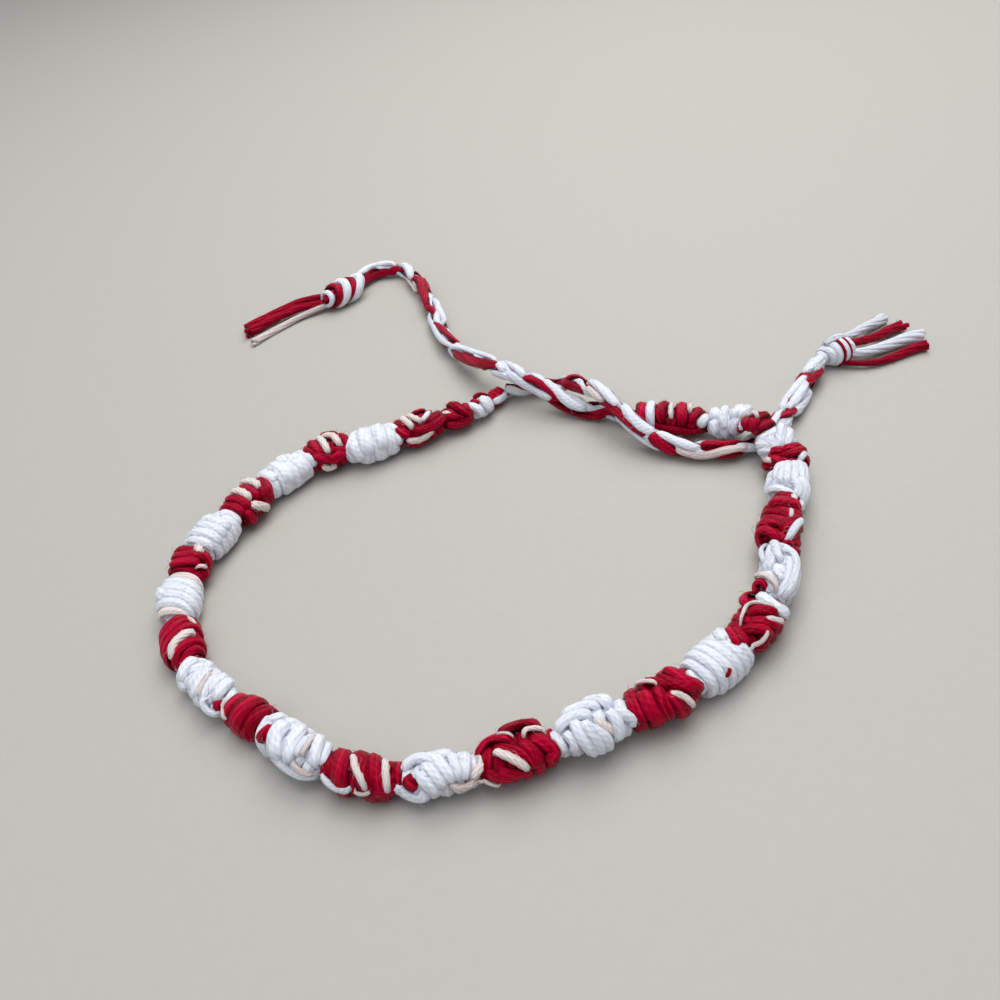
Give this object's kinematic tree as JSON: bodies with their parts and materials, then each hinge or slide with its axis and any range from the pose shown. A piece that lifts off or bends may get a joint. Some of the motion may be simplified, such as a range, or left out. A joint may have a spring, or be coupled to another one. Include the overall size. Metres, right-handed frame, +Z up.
{
  "type": "knotted friendship bracelet",
  "caption": "Knotted cotton bracelet in alternating groups, lying as an open loop, with two crossed braided ties that end in knots and short tassels.",
  "frame": {"origin": "centre of the knotted loop's box, at the surface on which the bracelet lies; the ties, their knots and tassels are not counted", "axes": "+X along the loop's longest width, +Y from the loop's front to the side where the ties cross, +Z up, along the wrist"},
  "size_m": [0.0864, 0.0919, 0.0044],
  "materials": {
    "red_floss": "satin",
    "white_floss": "satin",
    "mixed_floss": "satin"
  },
  "bodies": {
    "root": {"red_knots_01": "red_floss", "white_knots_02": "white_floss", "red_knots_03": "red_floss", "red_knots_04": "red_floss", "white_knots_05": "white_floss", "red_knots_06": "red_floss", "white_knots_07": "white_floss", "red_knots_08": "red_floss", "white_knots_09": "white_floss", "red_knots_10": "red_floss", "white_knots_11": "white_floss", "red_knots_12": "red_floss", "white_knots_13": "white_floss", "red_knots_14": "red_floss", "white_knots_15": "white_floss", "red_knots_16": "red_floss", "white_knots_17": "white_floss", "red_knots_18": "red_floss", "white_knots_19": "white_floss", "red_knots_20": "red_floss", "white_knots_21": "white_floss", "red_knots_22": "red_floss", "white_knots_23": "white_floss", "red_knots_24": "red_floss", "white_knots_25": "white_floss", "red_knots_26": "red_floss", "white_knots_27": "white_floss", "red_knots_28": "red_floss", "white_knots_29": "white_floss", "red_knots_30": "red_floss", "tie_left": "mixed_floss", "tie_right": "mixed_floss", "end_knot_left": "mixed_floss", "end_knot_right": "mixed_floss", "tassel_left": "mixed_floss", "tassel_right": "mixed_floss"}
  },
  "joints": []
}
